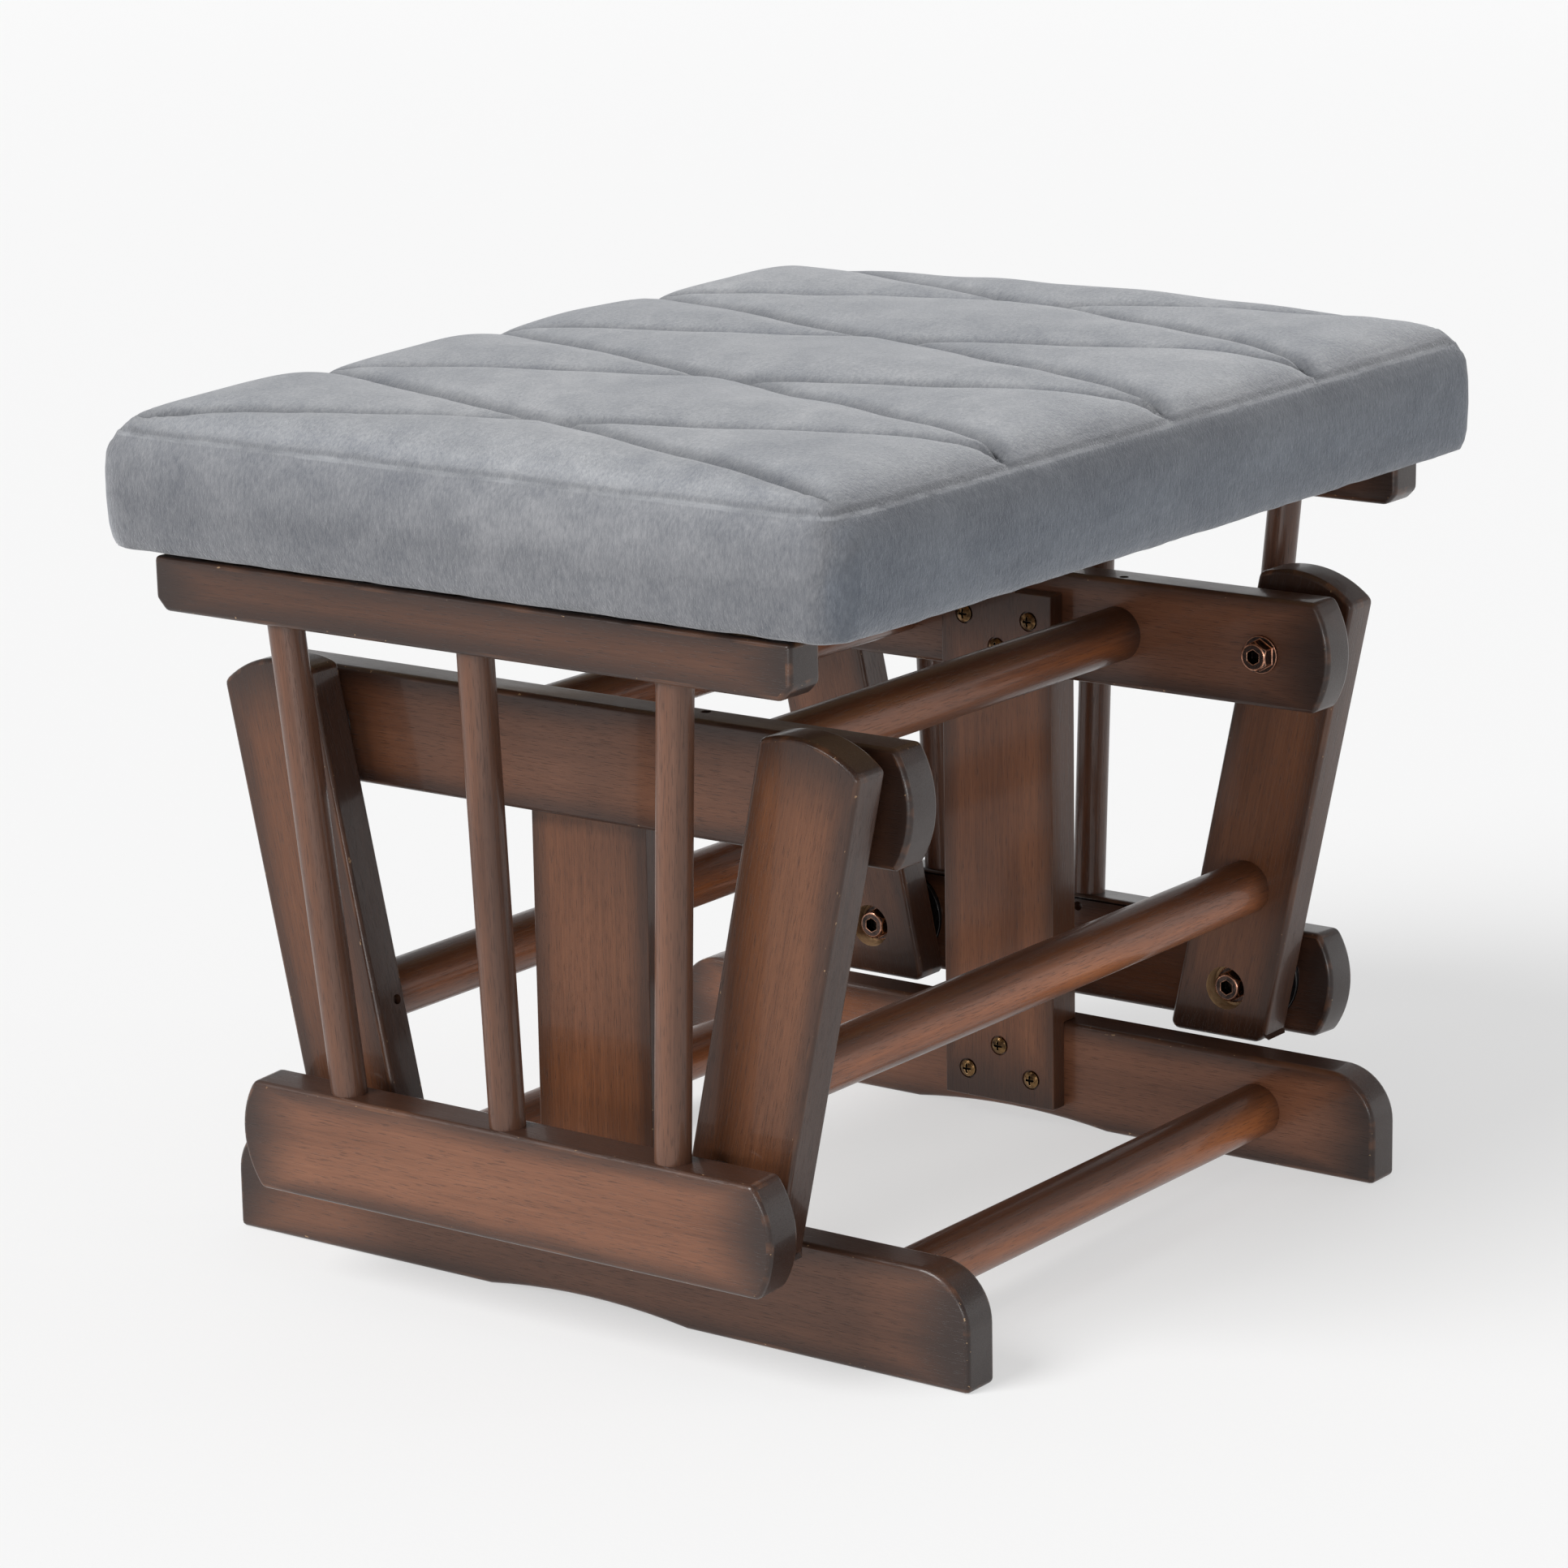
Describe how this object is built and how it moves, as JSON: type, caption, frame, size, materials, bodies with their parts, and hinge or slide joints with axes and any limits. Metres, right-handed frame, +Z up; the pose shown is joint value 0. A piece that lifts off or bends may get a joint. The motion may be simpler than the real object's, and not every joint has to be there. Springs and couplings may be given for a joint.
{
  "type": "glider ottoman",
  "caption": "Gliding footstool: a padded footrest on spindle side frames hangs from swinging links on a wooden base with long feet.",
  "frame": {"origin": "centre of the footprint, on the floor, with the footrest at rest in the middle of its glide", "axes": "+X to the ottoman's right, along its width; +Y to its rear, along the glide; +Z up"},
  "size_m": [0.52, 0.408, 0.4042],
  "materials": {
    "stained_wood": "dark walnut stain under semi-gloss lacquer",
    "stained_dowel": "reddish brown stain under semi-gloss lacquer",
    "plywood": "bare plywood",
    "antique_brass": "antiqued, satin",
    "bronzed_steel": "oil-rubbed bronze, worn coppery at the edges",
    "plain_steel": "plain",
    "black_plastic": "gloss black",
    "velvet": "brushed microfibre velvet, quilted top"
  },
  "bodies": {
    "base": {"left_foot": "stained_wood", "right_foot": "stained_wood", "left_upright": "stained_wood", "right_upright": "stained_wood", "left_top_rail": "stained_wood", "right_top_rail": "stained_wood", "front_base_stretcher": "stained_dowel", "rear_base_stretcher": "stained_dowel", "front_top_stretcher": "stained_dowel", "rear_top_stretcher": "stained_dowel", "upright_screws": "antique_brass", "base_pins": "plain_steel", "upper_pivot_bolts": "bronzed_steel", "upper_pivot_sleeves": "antique_brass"},
    "front_links": {"left_front_link": "stained_wood", "right_front_link": "stained_wood", "front_link_stretcher": "stained_dowel", "front_link_pins": "plain_steel", "front_upper_hubs": "black_plastic", "front_upper_hub_screws": "antique_brass", "front_lower_bolts": "bronzed_steel", "front_lower_sleeves": "antique_brass"},
    "rear_links": {"left_rear_link": "stained_wood", "right_rear_link": "stained_wood", "rear_link_stretcher": "stained_dowel", "rear_link_pins": "plain_steel", "rear_upper_hubs": "black_plastic", "rear_upper_hub_screws": "antique_brass", "rear_lower_bolts": "bronzed_steel", "rear_lower_sleeves": "antique_brass"},
    "seat": {"left_side_rail": "stained_wood", "right_side_rail": "stained_wood", "left_front_spindle": "stained_dowel", "left_middle_spindle": "stained_dowel", "left_rear_spindle": "stained_dowel", "right_front_spindle": "stained_dowel", "right_middle_spindle": "stained_dowel", "right_rear_spindle": "stained_dowel", "spindle_pins": "plain_steel", "front_lower_hubs": "black_plastic", "rear_lower_hubs": "black_plastic", "lower_hub_screws": "antique_brass", "left_seat_rail": "stained_wood", "right_seat_rail": "stained_wood", "front_crossbar": "stained_wood", "rear_crossbar": "stained_wood", "seat_board": "plywood", "seat_board_screws": "antique_brass", "cushion": "velvet"}
  },
  "joints": [
    {"name": "front_link_swing", "type": "hinge", "parent": "base", "child": "front_links", "pos_m": [0, -0.142, 0.248], "axis": [1, 0, 0], "range_deg": [-10, 10]},
    {"name": "rear_link_swing", "type": "hinge", "parent": "base", "child": "rear_links", "pos_m": [0, 0.142, 0.248], "axis": [1, 0, 0], "range_deg": [-10, 10]},
    {"name": "seat_pivot", "type": "hinge", "parent": "front_links", "child": "seat", "pos_m": [0, -0.1045, 0.0735], "axis": [1, 0, 0], "range_deg": [-13.6, 13.6]}
  ],
  "couplings": [
    {"joint": "rear_link_swing", "follows": "front_link_swing", "ratio": 1},
    {"joint": "seat_pivot", "follows": "front_link_swing", "ratio": -1.355}
  ]
}
